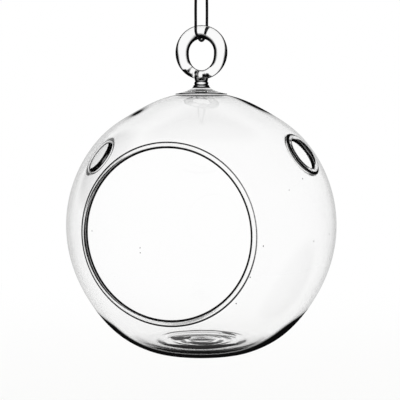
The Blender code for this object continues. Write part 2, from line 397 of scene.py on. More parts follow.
def blown_glass(piece):
    """Clear glass with shade painted along its marked edges, that darkens in its depth, with faint
    waves.
    """
    values = settings("glass")
    material, tree, shader, output = new_material(piece + "_glass")
    place = node(tree, "ShaderNodeTexCoord", "Place").outputs["Object"]

    # Painted shade: past the marked edge the glass is tinted to near-black and loses its
    # transmission and its shine
    facing = node(tree, "ShaderNodeLayerWeight", "Turned away", {"Blend": 0.5})
    begins, ends = [node(tree, "ShaderNodeAttribute", mark, attribute_name=mark).outputs["Fac"]
                    for mark in EDGE_SHADE_MARKS]
    edge = ranged(tree, "Edge", facing.outputs["Facing"], begins, ends, curve="SMOOTHSTEP")
    tint = mixed(tree, "Clear to edge", edge, (*values.body, 1.0), (*values.edge, 1.0), True)
    clear = ranged(tree, "Clear away from the edge", edge, to_low=1.0, to_high=0.0)
    shine = ranged(tree, "Edge without shine", edge, to_low=GLASS_SHINE, to_high=0.0)

    waves = node(tree, "ShaderNodeTexNoise", "Waves",
                 {"Vector": place, "Scale": WAVE_SCALE, "Detail": WAVE_DETAIL})
    bump = node(tree, "ShaderNodeBump", "Waves in the surface",
                {"Height": waves.outputs["Fac"], "Strength": 1.0, "Distance": WAVES[piece]})
    smears = node(tree, "ShaderNodeTexNoise", "Smears",
                  {"Vector": place, "Scale": SMEAR_SCALE, "Detail": SMEAR_DETAIL})
    polish = ranged(tree, "Polish", smears.outputs["Fac"], *SMEAR_BAND, 0.0, SMEAR_ROUGHNESS)
    depth = node(tree, "ShaderNodeVolumeAbsorption", "Depth",
                 {"Color": (*values.depth_colour, 1.0), "Density": values.depth})

    feed(tree, shader, {
        "Base Color": tint, "Transmission Weight": clear, "Specular IOR Level": shine,
        "Normal": bump.outputs["Normal"], "Roughness": polish, "IOR": GLASS_IOR,
        "Specular Tint": (*values.glint, 1.0)})
    feed(tree, output, {"Volume": depth.outputs["Volume"]})
    return material


# Waxed cord: how its yarns lie, and its relief and roughness
YARN_LAY = math.radians(28.0)
YARN_SCALE, YARN_WOBBLE = 6.0, 0.6
FUZZ_SCALE, FUZZ_SHARE = 4000.0, 0.4
CORD_RELIEF, CORD_RELIEF_STRENGTH = 0.00004, 0.6
CORD_ROUGHNESS, WAX_ROUGHNESS = 0.75, 0.45
CORD_SHINE = 0.04


def waxed_cord():
    """Black cord with fine twisted yarns under a little wax."""
    values = settings("cord")
    material, tree, shader, _ = new_material("black_waxed_cord")
    place = node(tree, "ShaderNodeTexCoord", "Along and round the cord")
    lay = node(tree, "ShaderNodeMapping", "Lay",
               {"Vector": place.outputs["UV"], "Rotation": (0.0, 0.0, YARN_LAY)})
    yarns = node(tree, "ShaderNodeTexWave", "Yarns",
                 {"Vector": lay.outputs["Vector"], "Scale": YARN_SCALE, "Distortion": YARN_WOBBLE},
                 wave_type="BANDS", bands_direction="X").outputs["Fac"]
    fuzz = node(tree, "ShaderNodeTexNoise", "Fuzz",
                {"Vector": place.outputs["Object"], "Scale": FUZZ_SCALE}).outputs["Fac"]
    shade = mixed(tree, "Fibre to wax", yarns, (*values.fibre, 1.0), (*values.wax, 1.0), True)
    height = worked_out(tree, "Yarns and fuzz", "MULTIPLY_ADD", fuzz, FUZZ_SHARE, yarns)
    bump = node(tree, "ShaderNodeBump", "Relief", {
        "Height": height, "Strength": CORD_RELIEF_STRENGTH, "Distance": CORD_RELIEF})
    rough = ranged(tree, "Wax shine", yarns, to_low=CORD_ROUGHNESS, to_high=WAX_ROUGHNESS)
    feed(tree, shader, {
        "Base Color": shade, "Normal": bump.outputs["Normal"], "Roughness": rough,
        "Specular IOR Level": CORD_SHINE})
    return material


# Camera and cord

# Width of the camera's sensor in millimetres
SENSOR_WIDTH = 36.0


class PLANTER_OT_camera(Operator):
    """Place the camera at the photograph's angle"""

    bl_idname = "planter.camera"
    bl_label = "Camera"

    def execute(self, context):
        stage = settings("stage")
        spot = Vector((math.sin(stage.azimuth) * stage.distance,
                       -math.cos(stage.azimuth) * stage.distance,
                       settings("globe").centre + stage.above))
        look = -direction(stage.azimuth, stage.pitch)
        camera = added(bpy.ops.object.camera_add, "camera", location=spot,
                       rotation=look.to_track_quat("-Z", "Y").to_euler())
        camera.data.lens = stage.lens
        camera.data.sensor_width = SENSOR_WIDTH
        camera.data.shift_x = stage.shift
        context.scene.camera = camera
        return {"FINISHED"}


# The front run of the cord, from the ring's centre: across, back and up
FRONT_STRAND = (
    (-0.00095, 0.00000, 0.0582),
    (-0.00095, 0.00000, 0.0567),
    (-0.00112, -0.00020, 0.0530),
    (-0.00165, -0.00090, 0.0460),
    (-0.00205, -0.00210, 0.0380),
    (-0.00212, -0.00330, 0.0300),
    (-0.00195, -0.00420, 0.0225),
    (-0.00178, -0.00465, 0.0160),
)
# One side of the hanging loop, from the knot's top: across and up
LOOP_SIDE = (
    (0.00095, 0.0003),
    (0.00095, 0.0018),
    (0.00150, 0.0050),
    (0.00290, 0.0090),
    (0.00420, 0.0130),
    (0.00470, 0.0165),
    (0.00395, 0.0201),
    (0.00215, 0.0225),
)
LOOP_TOP = 0.0228
# How far to each side the bight's two ends stand at the ring
BIGHT_OFFSET = 0.00170
BIGHT_STEPS = 8
STRAND_STEP, LOOP_STEP = 0.0012, 0.0008
CORD_ROUNDNESS = 6
WRAP_STEPS, KNOT_SIDES = 12, 48


def smooth_route(points, step):
    """Points along a smooth curve through the given points, about one step apart."""
    ends = [2 * points[0] - points[1]] + points + [2 * points[-1] - points[-2]]
    route = []
    for before, first, last, after in zip(ends, ends[1:], ends[2:], ends[3:]):
        steps = max(1, round((last - first).length / step))
        for index in range(steps):
            share = index / steps
            route.append(0.5 * (2 * first + (last - before) * share
                                + (2 * before - 5 * first + 4 * last - after) * share ** 2
                                + (3 * first - before - 3 * last + after) * share ** 3))
    route.append(points[-1])
    return route


def bight():
    """The turn of cord under the ring's top, from front left to back right."""
    neck, cord = settings("neck"), settings("cord")
    hug = neck.rod + neck.gap + cord.diameter / 2
    reach = neck.ring_radius - neck.rod
    lean = math.asin(BIGHT_OFFSET / reach)
    points = []
    for index in range(BIGHT_STEPS + 1):
        turn = math.pi * index / BIGHT_STEPS
        side = lean * (2 * index / BIGHT_STEPS - 1)
        out = reach - hug * math.sin(turn)
        points.append(Vector((out * math.sin(side), -hug * math.cos(turn), out * math.cos(side))))
    return points


def cord_tube(name, route, material, body):
    """A round cord along a route of points."""
    cord = settings("cord")
    item = added(bpy.ops.curve.primitive_nurbs_path_add, name, location=ORIGIN)
    item.data.splines.clear()
    spline = item.data.splines.new("POLY")
    spline.points.add(len(route) - 1)
    for point, spot in zip(spline.points, route):
        point.co = (*spot, 1.0)
    spline.use_smooth = True
    item.data.dimensions = "3D"
    item.data.bevel_depth = cord.diameter / 2
    item.data.bevel_resolution = CORD_ROUNDNESS
    item.data.use_fill_caps = True
    item.data.materials.append(material)
    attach(item, body)
    return item


class PLANTER_OT_cord(Operator):
    """Hang the strands, the knot and the loop of black cord"""

    bl_idname = "planter.cord"
    bl_label = "Cord"

    def execute(self, context):
        cord, neck = settings("cord"), settings("neck")
        fibre = waxed_cord()
        ring = upright(neck.ring_centre)
        front = [Vector(point) for point in FRONT_STRAND]
        back = [Vector((-point.x, -point.y, point.z)) for point in reversed(front)]
        route = [ring + point for point in smooth_route(front + bight() + back, STRAND_STEP)]
        strands = cord_tube("strands", route, fibre, "strands")
        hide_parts("cord_strands")

        knot = self.knot(fibre)

        top = upright(cord.knot_top)
        side = [Vector((across, 0.0, height)) for across, height in LOOP_SIDE]
        other = [Vector((-point.x, 0.0, point.z)) for point in reversed(side)]
        bend = side + [upright(LOOP_TOP)] + other
        loop_route = [top + point for point in smooth_route(bend, LOOP_STEP)]
        loop = cord_tube("hanging_loop", loop_route, fibre, "loop")
        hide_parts("cord_loop")

        return {"FINISHED"}

    def knot(self, fibre):
        """A barrel of wraps round both strands."""
        cord = settings("cord")
        half = cord.diameter / 2
        flat = cord.knot_radius - half
        pitch = cord.knot_height / cord.wraps
        foot = cord.knot_top - cord.knot_height
        profile = [(0.0, foot + cord.knot_height)]
        for wrap in range(cord.wraps):
            middle = foot + cord.knot_height - pitch * (wrap + 0.5)
            for index in range(WRAP_STEPS + 1):
                turn = math.pi * (0.5 - index / WRAP_STEPS)
                profile.append((flat + half * math.cos(turn),
                                middle + pitch / 2 * math.sin(turn)))
        profile.append((0.0, foot))
        knot = turned("knot", profile, KNOT_SIDES)
        finish_smooth(knot, fibre, "knot")
        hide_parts("cord_knot")
        return knot


# Globe

# Where the blown wall stands off an even oval: share of its size, angle from the top, and spread
WALL_SWELLS = (
    (-0.015, math.radians(30.0), math.radians(12.0)),
    (0.026, math.radians(146.0), math.radians(18.0)),
)


def swell(polar):
    return 1 + sum(share * peak(polar, middle, spread) for share, middle, spread in WALL_SWELLS)


def outer_point(polar):
    globe = settings("globe")
    size = swell(polar)
    return globe.radius * math.sin(polar) * size, globe.half_height * math.cos(polar) * size


def outer_reach(out):
    """How far the outer wall lies from the centre in a direction."""
    globe = settings("globe")
    flat, height = math.hypot(out.x, out.y) / globe.radius, out.z / globe.half_height
    return swell(math.atan2(flat, height)) / math.hypot(flat, height)


# Halvings that bring an angle to well under a micrometre of wall
HALVINGS = 40


def angle_at(height, point, low, high):
    """Angle from the top pole, between low and high, at which a wall's points pass a height."""
    for _ in range(HALVINGS):
        middle = (low + high) / 2
        if point(middle)[1] > height:
            low = middle
        else:
            high = middle
    return low


def inner_point(polar):
    """The point inside the wall that faces an outer point."""
    globe = settings("globe")
    radius, height = outer_point(polar)
    normal = Vector((math.sin(polar) / globe.radius, math.cos(polar) / globe.half_height))
    normal.normalize()
    bottom = globe.foot_cut + globe.floor
    spread = math.exp(-((math.pi - polar) / globe.floor_spread) ** 2)
    wall = globe.wall + (bottom - globe.wall) * spread
    return max(radius - wall * normal.x, 0.0), height - wall * normal.y


# Where the flat seat and foot have a further ring of points, as a share of their radius
SEAT_RING, FOOT_RING = 0.5, 0.7
DIMPLE_STEPS = 10


def globe_profile():
    """Radius and height of the outer wall's points, from the top's middle to the foot's."""
    globe = settings("globe")
    seat = globe.half_height - globe.crown_cut
    foot = globe.half_height - globe.foot_cut
    first = angle_at(seat, outer_point, 0.0, math.pi / 2)
    last = angle_at(-foot, outer_point, math.pi / 2, math.pi)
    points = [(0.0, seat), (outer_point(first)[0] * SEAT_RING, seat)]
    for index in range(globe.rings + 1):
        points.append(outer_point(first + (last - first) * index / globe.rings))
    points.append((outer_point(last)[0] * FOOT_RING, -foot))
    for index in range(DIMPLE_STEPS + 1):
        share = index / DIMPLE_STEPS
        dip = globe.dimple_depth * (0.5 - 0.5 * math.cos(math.pi * share))
        points.append((globe.dimple_radius * (1 - share), -foot + dip))
    return points


# The inner floor: how far it reaches up the wall, its rings of points, where it joins the wall,
# and its radius and height above the foot
FLOOR_REACH = math.radians(28.0)
FLOOR_RINGS = 84
FLOOR_JOIN = (0.0240, 0.0310)
FLOOR_LINE = (
    (0.0000, 0.00145),
    (0.0035, 0.00125),
    (0.0092, 0.00225),
    (0.0135, 0.00165),
    (0.0210, 0.00285),
    (0.0270, 0.00235),
    (0.0340, 0.00300),
)


def floor_height(radius):
    """Height of the inner floor above the foot, down its two shallow rings."""
    for (low, start_up), (high, stop_up) in zip(FLOOR_LINE, FLOOR_LINE[1:]):
        if radius <= high:
            share = (radius - low) / (high - low)
            return start_up + (stop_up - start_up) * soft_step(share)
    return FLOOR_LINE[-1][1]


def cavity_profile():
    """Radius and height of the hollow's points, from the ceiling's middle to the floor's."""
    globe = settings("globe")
    ceiling = globe.half_height - globe.crown_cut - globe.wall
    first = angle_at(ceiling, inner_point, 0.0, math.pi / 2)
    last = math.pi - FLOOR_REACH
    points = [(0.0, ceiling)]
    for index in range(globe.rings):
        points.append(inner_point(first + (last - first) * index / globe.rings))
    for index in range(FLOOR_RINGS + 1):
        radius, height = inner_point(last + FLOOR_REACH * index / FLOOR_RINGS)
        floor = floor_height(radius) + globe.foot_cut - globe.half_height
        points.append((radius, floor + (height - floor) * float(eased(radius, *FLOOR_JOIN))))
    return points


# A melted edge: how far past the bead the wall is cut away, where the bead leaves the wall,
# and the facets of the blend and of the round
BEAD_SKIRT = 0.0009
BEAD_JOIN = math.radians(55.0)
BLEND_STEPS, ROUND_STEPS = 6, 17


def bead_profile(bead, wall):
    """Section of a melted edge, as distance out along the wall and height above its middle."""
    start_out, start_up = bead + BEAD_SKIRT, wall / 2
    stop_out, stop_up = bead * math.cos(BEAD_JOIN), bead * math.sin(BEAD_JOIN)
    slope = -math.cos(BEAD_JOIN) / math.sin(BEAD_JOIN)
    reach = stop_out - start_out
    points = []
    for index in range(1, BLEND_STEPS):
        share = index / BLEND_STEPS
        blend = (2 * share ** 3 - 3 * share ** 2 + 1) * start_up
        blend += (3 * share ** 2 - 2 * share ** 3) * stop_up
        blend += (share ** 3 - share ** 2) * slope * reach
        points.append((start_out + reach * share, blend))
    for index in range(ROUND_STEPS + 1):
        turn = BEAD_JOIN + (2 * math.pi - 2 * BEAD_JOIN) * index / ROUND_STEPS
        points.append((bead * math.cos(turn), bead * math.sin(turn)))
    return points


CUTTER_DEPTH, CUTTER_OUT = 0.06, 0.012
# How near to the cut a face is that belongs to it, and how near its rim's points merge
CUT_NEARNESS, RIM_NEARNESS = 0.0001, 0.00012
CUT_TILT = 0.1
# Share of the oval's size that parts the outer wall's rim from the inner's
OUTER_SHARE = 0.994


class Opening:
    """A round opening in the wall, with its axis and the middle of its bead."""

    def __init__(self, azimuth, rise, radius, bead, edges):
        globe = settings("globe")
        self.edges = edges
        self.axis = direction(azimuth, rise)
        self.bead = bead
        self.radius = radius + bead
        middle = 1 / math.hypot(math.cos(rise) / globe.radius,
                                math.sin(rise) / globe.half_height)
        self.reach = math.sqrt((middle - globe.wall / 2) ** 2 - self.radius ** 2)
        self.lean = math.atan2(self.radius, self.reach)
        self.centre = upright(globe.centre)

    def section(self, out, up):
        """Radius about the axis and height along it, of a point of the bead's section."""
        return (self.radius + out * math.cos(self.lean) + up * math.sin(self.lean),
                self.reach - out * math.sin(self.lean) + up * math.cos(self.lean))

    def measure(self, spot):
        """Radius about the axis and height along it, of a point in space."""
        away = spot - self.centre
        along = away.dot(self.axis)
        return (away - self.axis * along).length, along

    def open(self, item, sides):
        """Cut through the wall and melt a bead round the edge."""
        wall = settings("globe").wall
        rim = self.section(self.bead + BEAD_SKIRT, wall / 2)
        cut(item, added(
            bpy.ops.mesh.primitive_cylinder_add, "cutter",
            vertices=sides, radius=rim[0], depth=CUTTER_DEPTH,
            location=self.centre + self.axis * (self.reach + CUTTER_OUT),
            rotation=self.axis.to_track_quat("Z", "Y").to_euler()))
        self.clear_cut(item, rim[0])
        pick_rims(item, self.outside)
        last = rim
        for out, up in bead_profile(self.bead, wall):
            radius, along = self.section(out, up)
            bpy.ops.mesh.extrude_edges_move(
                TRANSFORM_OT_translate={"value": self.axis * (along - last[1])})
            bpy.ops.transform.resize(value=(radius / last[0],) * 3,
                                     center_override=self.centre + self.axis * along)
            last = radius, along
        pick_rims(item)
        bpy.ops.mesh.bridge_edge_loops()
        leave()

    def clear_cut(self, item, cut_radius):
        """Take away the faces of a cut and merge the crowded points of its two rims."""
        shape = edit(item)
        bpy.ops.mesh.select_mode(type="FACE")
        bpy.ops.mesh.select_all(action="DESELECT")
        for face in shape.faces:
            radius, along = self.measure(face.calc_center_median())
            tilt = abs(face.normal.dot(self.axis))
            if along > 0 and abs(radius - cut_radius) < CUT_NEARNESS and tilt < CUT_TILT:
                face.select_set(True)
        bmesh.update_edit_mesh(item.data)
        bpy.ops.mesh.delete(type="ONLY_FACE")
        bpy.ops.mesh.select_mode(type="EDGE")
        bpy.ops.mesh.select_all(action="DESELECT")
        shape = bmesh.from_edit_mesh(item.data)
        loose = [edge for edge in shape.edges if not edge.link_faces]
        bmesh.ops.delete(shape, geom=loose, context="EDGES")
        shape = bmesh.from_edit_mesh(item.data)
        for outer in (True, False):
            rim = [edge for edge in shape.edges
                   if edge.is_boundary and self.outside(edge) == outer]
            # In the order of their places, so that the same points merge every time
            verts = sorted({vert for edge in rim for vert in edge.verts},
                           key=lambda vert: tuple(vert.co))
            bmesh.ops.remove_doubles(shape, verts=verts, dist=RIM_NEARNESS)

    def outside(self, edge):
        """Whether an edge lies on the outer face of the wall."""
        globe = settings("globe")
        middle = (edge.verts[0].co + edge.verts[1].co) / 2 - self.centre
        across = math.hypot(middle.x, middle.y) / globe.radius
        return math.hypot(across, middle.z / globe.half_height) > OUTER_SHARE


# Painted shade on the beads: edges of the near side, the far side and the lip, and where the near
# edge and the lip begin
MOUTH_EDGES = ((0.15, 0.42), (0.15, 0.42), (0.0, 0.12), (-3.0, -2.6), (-0.2, 0.4))
LEFT_HOLE_EDGES = ((-0.20, 0.10), (0.50, 0.74), (-0.20, 0.10), (0.45, 0.75), (0.40, 0.70))
RIGHT_HOLE_EDGES = ((-0.20, 0.10), (0.56, 0.80), (-0.20, 0.10), (0.45, 0.75), (0.78, 0.94))
# The side that counts as near, for the openings and the floor, as an angle from the mouth
NEAR_SIDE = math.radians(17.0)


def openings():
    values = settings("openings")
    return [
        Opening(0.0, values.mouth_rise, values.mouth_radius, values.mouth_bead, MOUTH_EDGES),
        Opening(values.left_azimuth, values.left_rise,
                values.hole_radius, values.hole_bead, LEFT_HOLE_EDGES),
        Opening(values.right_azimuth, values.right_rise,
                values.hole_radius, values.hole_bead, RIGHT_HOLE_EDGES),
    ]


# How far the glass turns away where the shade painted along its edge begins and ends, and bands in
# degrees from the top
WALL_EDGE = (0.68, 1.04)
INNER_WALL_EDGE = (0.78, 1.50)
FOOT_BAND = (124.0, 133.0)
FOOT_EDGE = (0.70, 0.77)
UNDER_BAND = (145.0, 152.0)
UNDER_EDGE = (0.58, 0.66)
INNER_FOOT_CLEAR = (1.0, 1.4)
FLOOR_BAND = (150.0, 156.0)
FLOOR_EDGE = (0.80, 0.86)
# Dark crescents painted as shade on the inner floor: from side and nearness, to side and nearness,
# sag and thickness
CRESCENT_EDGE = (0.22, 0.44)
CRESCENTS = (
    (-0.0221, 0.0136, 0.0207, 0.0136, 0.0093, 0.0090),
    (-0.0082, 0.0064, 0.0112, 0.0064, 0.0043, 0.0053),
    (-0.0176, -0.0040, -0.0060, -0.0060, 0.0010, 0.0100),
    (-0.0100, -0.0085, 0.0040, -0.0112, -0.0010, 0.0030),
    (-0.0040, -0.0019, 0.0050, -0.0019, -0.0024, 0.0030),
    (0.0117, -0.0176, 0.0200, -0.0080, -0.0010, 0.0040),
)
# Shade painted on the seeds: partly dark seen straight on, and fully dark once they turn a little
# away
SEED_EDGE = (-0.20, 0.30)
SEED_RADIUS, SEED_STRETCH = 0.00030, 1.3
# Seeds in the wall: azimuth and rise in degrees
SEEDS = (
    (-130.6, -16.8), (-130.2, -19.2), (41.6, -2.1), (68.3, -2.3), (82.1, -1.0), (36.9, -14.3),
    (32.3, -25.7), (26.6, -41.2), (66.9, 23.0), (150.0, 12.0), (-58.0, -21.0), (121.0, 35.0),
    (-165.0, 31.0), (-101.0, -6.0), (172.0, -28.0),
)
# Places of the wall where the painted edge shade sets in sooner or later: azimuth, rise and spread
# in degrees, and their edge
EDGE_SHADE_PLACES = (
    (17.0, 90.0, 24.0, 0.84, 0.93),
    (88.0, 66.0, 9.0, 0.70, 0.79),
    (-48.0, 59.0, 6.0, 0.70, 0.79),
    (-160.0, 64.0, 8.0, 0.70, 0.80),
    (74.0, -50.0, 12.0, 0.58, 0.70),
    (-150.0, -52.0, 8.0, 0.50, 0.70),
)
MOUTH_SIDES, HOLE_SIDES = 192, 72
# Share of the oval's size that parts the inner wall from the outer, and room above the dimple
INNER_SHARE = 0.989
DIMPLE_ROOM = 0.0001
# Where a crescent fades, from its edge; where a bead's edge fades, in its radii; and where the
# near half of an opening begins, as a share of its radius
CRESCENT_FADE = (-0.0005, 0.0001)
BEAD_FADE = (1.1, 1.6)
NEAR_HALF = (-0.3, 0.5)


class PLANTER_OT_globe(Operator):
    """Blow the globe with its thick floor, its mouth and its two side holes"""

    bl_idname = "planter.globe"
    bl_label = "Globe"

    def execute(self, context):
        globe = settings("globe")
        outer, inner = [[(radius, height + globe.centre) for radius, height in profile]
                        for profile in (globe_profile(), cavity_profile())]
        body = turned("blown_globe", outer, globe.segments)
        hollow = turned("hollow", inner, globe.segments)
        take(hollow)
        bpy.ops.transform.translate(value=(0.0, globe.set_back, 0.0))
        bpy.ops.object.transform_apply(location=True, rotation=False, scale=False)
        cut(body, hollow)
        for hole, sides in zip(openings(), (MOUTH_SIDES, HOLE_SIDES, HOLE_SIDES)):
            hole.open(body, sides)
        weld(body)
        wall_count = len(body.data.vertices)
        self.blow_seeds(body)
        self.mark_edges(body, wall_count)
        finish_smooth(body, blown_glass("globe"), PLANTER)
        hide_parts("glass_globe")
        return {"FINISHED"}

    def mark_edges(self, body, wall_count):
        """Note where painted shade darkens the wall, the places where it sets in sooner or later,
        the floor and the beads.
        """
        globe = settings("globe")
        edges = Edges(body, globe.centre, *WALL_EDGE)
        spots = edges.spots
        size = np.linalg.norm(spots, axis=1)
        polar = np.degrees(np.arccos(spots[:, 2] / size))
        across = np.hypot(spots[:, 0], spots[:, 1]) / globe.radius
        up = spots[:, 2] / globe.half_height
        share = np.hypot(across, up) / swell(np.arctan2(across, up))
        foot_top = globe.foot_cut + globe.dimple_depth + DIMPLE_ROOM - globe.half_height
        inside = ((share < INNER_SHARE) & (spots[:, 2] >= foot_top)).astype(float)
        foot = eased(polar, *FOOT_BAND)
        edges.zone(inside, *INNER_WALL_EDGE)
        edges.zone((1 - inside) * foot, *FOOT_EDGE)
        edges.zone((1 - inside) * eased(polar, *UNDER_BAND), *UNDER_EDGE)
        for azimuth, rise, spread, begins, ends in EDGE_SHADE_PLACES:
            middle = np.array(direction(math.radians(azimuth), math.radians(rise)))
            away = np.degrees(np.arccos(np.clip(spots @ middle / size, -1.0, 1.0)))
            edges.zone((1 - inside) * peak(away, 0.0, spread), begins, ends)
        edges.zone(inside * foot, *INNER_FOOT_CLEAR)
        edges.zone(inside * eased(polar, *FLOOR_BAND), *FLOOR_EDGE)
        self.mark_crescents(edges, inside * (polar > FLOOR_BAND[0]))
        for hole in openings():
            self.mark_bead(edges, hole)
        edges.zone(np.arange(len(spots)) >= wall_count, *SEED_EDGE)
        edges.mark()

    def mark_crescents(self, edges, floor):
        """The dark crescents painted as shade on the floor."""
        side = edges.spots @ np.array(direction(NEAR_SIDE + math.pi / 2, 0.0))
        near = edges.spots @ np.array(direction(NEAR_SIDE, 0.0))
        for side_from, near_from, side_to, near_to, sag, thickness in CRESCENTS:
            share = np.clip((side - side_from) / (side_to - side_from), 0.0, 1.0)
            bow = 4 * share * (1 - share)
            gap = np.abs(near - near_from - (near_to - near_from) * share - sag * bow)
            reach = thickness / 2 * np.sqrt(bow)
            dark = 1 - eased(gap, reach + CRESCENT_FADE[0], reach + CRESCENT_FADE[1])
            edges.zone(floor * (bow > 0) * dark, *CRESCENT_EDGE)

    def mark_bead(self, edges, hole):
        """Painted shade on the near side, the far side and the lip of a melted edge."""
        near_edge, far_edge, lip_edge, near_part, lip_part = hole.edges
        axis = np.array(hole.axis)
        along = edges.spots @ axis
        off_axis = edges.spots - np.outer(along, axis)
        radius = np.linalg.norm(off_axis, axis=1)
        forward = off_axis @ np.array(direction(NEAR_SIDE, 0.0)) / radius
        outward = (radius - hole.radius) / hole.bead
        gap = np.hypot(radius - hole.radius, along - hole.reach)
        bead = 1.0 - eased(gap, hole.bead * BEAD_FADE[0], hole.bead * BEAD_FADE[1])
        edges.zone(bead, *far_edge)
        edges.zone(bead * eased(forward, *NEAR_HALF) * eased(outward, *near_part), *near_edge)
        edges.zone(bead * eased(-outward, *lip_part), *lip_edge)

    def blow_seeds(self, body):
        """Tiny bubbles left in the wall, each a hollow that faces into itself."""
        globe = settings("globe")
        seeds = []
        for azimuth, rise in SEEDS:
            out = direction(math.radians(azimuth), math.radians(rise))
            spot = upright(globe.centre) + out * (outer_reach(out) - globe.wall / 2)
            seed = added(bpy.ops.mesh.primitive_ico_sphere_add, "seed", subdivisions=2,
                         radius=SEED_RADIUS, location=spot)
            edit_all(seed)
            bpy.ops.transform.resize(value=(1.0, 1.0, SEED_STRETCH))
            bpy.ops.mesh.flip_normals()
            leave()
            seeds.append(seed)
        take(body)
        for seed in seeds:
            seed.select_set(True)
        bpy.ops.object.join()


# Crown, stem and ring

# The stem, from its top: share of its height, share of its flare, and depth of the turned line
STEM_OUTLINE = (
    (1.00, 0.00, 0),
    (0.72, 0.00, 0),
    (0.60, 0.00, 1),
    (0.50, 0.10, 0),
    (0.40, 0.15, 0),
    (0.30, 0.20, 1),
    (0.20, 0.50, 0),
    (0.10, 0.70, 1),
    (0.00, 1.00, 0),
)
CROWN_SIDES, CROWN_STEPS = 96, 24
CROWN_RIM = (0.82, 0.94)
CROWN_CREASE, STEM_CREASE = math.radians(35.0), math.radians(40.0)
STEM_SIDES = 64
# Points of the cut stem nearer than this are one point
STEM_NEARNESS = 1e-5
RING_STEPS, ROD_SIDES = 96, 40
# How far the glass turns away where the shade painted along its edge begins and ends, and where on
# the stem and ring:
# shares of the stem's height, degrees round the ring from its top, and radii in from the rod
CROWN_EDGE = (0.84, 0.96)
CROWN_RIM_EDGE = (-0.10, 0.40)
STEM_EDGE = (0.08, 0.34)
GROOVE_EDGE = (-0.15, 0.12)
ROD_EDGE = (0.46, 0.70)
ROD_SIDE_EDGE = (0.06, 0.26)
INNER_ROD_EDGE = (0.06, 0.30)
INNER_FOOT_EDGE = (0.34, 0.60)
UNDER_CORD_EDGE = (-0.05, 0.16)
DARK_SPOT_EDGE = (-0.30, 0.05)
GROOVE_SPREAD = 0.08
STEM_FOOT_BAND = (0.08, 0.20)
ROD_SIDE = (100.0, 40.0)
ROD_INWARD = (-0.1, 0.3)
UNDER_CORD = (0.0, 26.0)
INNER_FOOT_BAND = (125.0, 150.0)
# Black spots of painted shade on the lower arc of the ring: across and up from its centre, and
# spread
DARK_SPOT_PLACES = (
    (-0.0082, -0.0104, 0.0015),
    (-0.0060, -0.0122, 0.0014),
    (-0.0026, -0.0112, 0.0012),
    (-0.0024, -0.0130, 0.0012),
    (0.0020, -0.0127, 0.0013),
    (0.0042, -0.0124, 0.0014),
    (0.0061, -0.0074, 0.0006),
)


class PLANTER_OT_crown(Operator):
    """Turn the crown, the low cone of glass that the stem stands on"""

    bl_idname = "planter.crown"
    bl_label = "Crown"

    def execute(self, context):
        neck = settings("neck")
        foot = neck.crown_foot
        slope = neck.crown_height - neck.crown_edge
        spread = neck.crown_radius - neck.stem_foot_radius
        profile = [(0.0, foot + neck.crown_height)]
        for index in range(CROWN_STEPS + 1):
            share = index / CROWN_STEPS
            sweep = (1 - share) ** neck.crown_sweep
            profile.append((neck.stem_foot_radius + spread * share,
                            foot + neck.crown_edge + slope * sweep))
        profile.append((neck.crown_radius, foot))
        profile.append((0.0, foot))
        crown = turned("crown_cone", profile, CROWN_SIDES)
        # Painted shade: the crown darkens where it turns away, and sooner near its thin rim
        edges = Edges(crown, foot, *CROWN_EDGE)
        share = np.hypot(edges.spots[:, 0], edges.spots[:, 1]) / neck.crown_radius
        edges.zone(eased(share, *CROWN_RIM), *CROWN_RIM_EDGE)
        edges.mark()
        finish_smooth(crown, blown_glass("crown"), PLANTER)
        crown.data.set_sharp_from_angle(angle=CROWN_CREASE)
        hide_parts("crown")
        return {"FINISHED"}


def rod_radius(turn):
    """Radius of the ring's rod at an angle from the ring's top."""
    neck = settings("neck")
    return neck.rod + (neck.rod_foot - neck.rod) * eased(turn, math.pi / 2, math.pi)


def ring_band(name, fit):
    """The bent rod of the ring, drawn round section by section."""
    neck = settings("neck")

    def section(index):
        turn = 2 * math.pi * index / RING_STEPS
        rod = rod_radius(min(turn, 2 * math.pi - turn))
        reach = neck.ring_radius - rod
        out = Vector((reach * math.sin(turn), 0.0, reach * math.cos(turn)))
        return rod + fit, upright(neck.ring_centre) + out

    rod, spot = section(0)
    item = added(bpy.ops.mesh.primitive_circle_add, name, vertices=ROD_SIDES, radius=rod,
                 location=ORIGIN, rotation=(0.0, math.pi / 2, 0.0))
    bpy.ops.object.transform_apply(location=True, rotation=True, scale=True)
    edit_all(item)
    bpy.ops.transform.translate(value=spot)
    for index in range(1, RING_STEPS):
        wide, goal = section(index)
        bpy.ops.mesh.extrude_edges_move(TRANSFORM_OT_translate={"value": goal - spot})
        bpy.ops.transform.rotate(value=-2 * math.pi / RING_STEPS, orient_axis="Y",
                                 center_override=goal)
        bpy.ops.transform.resize(value=(wide / rod,) * 3, center_override=goal)
        rod, spot = wide, goal
    pick_rims(item)
    bpy.ops.mesh.bridge_edge_loops()
    leave()
    weld(item)
    return item


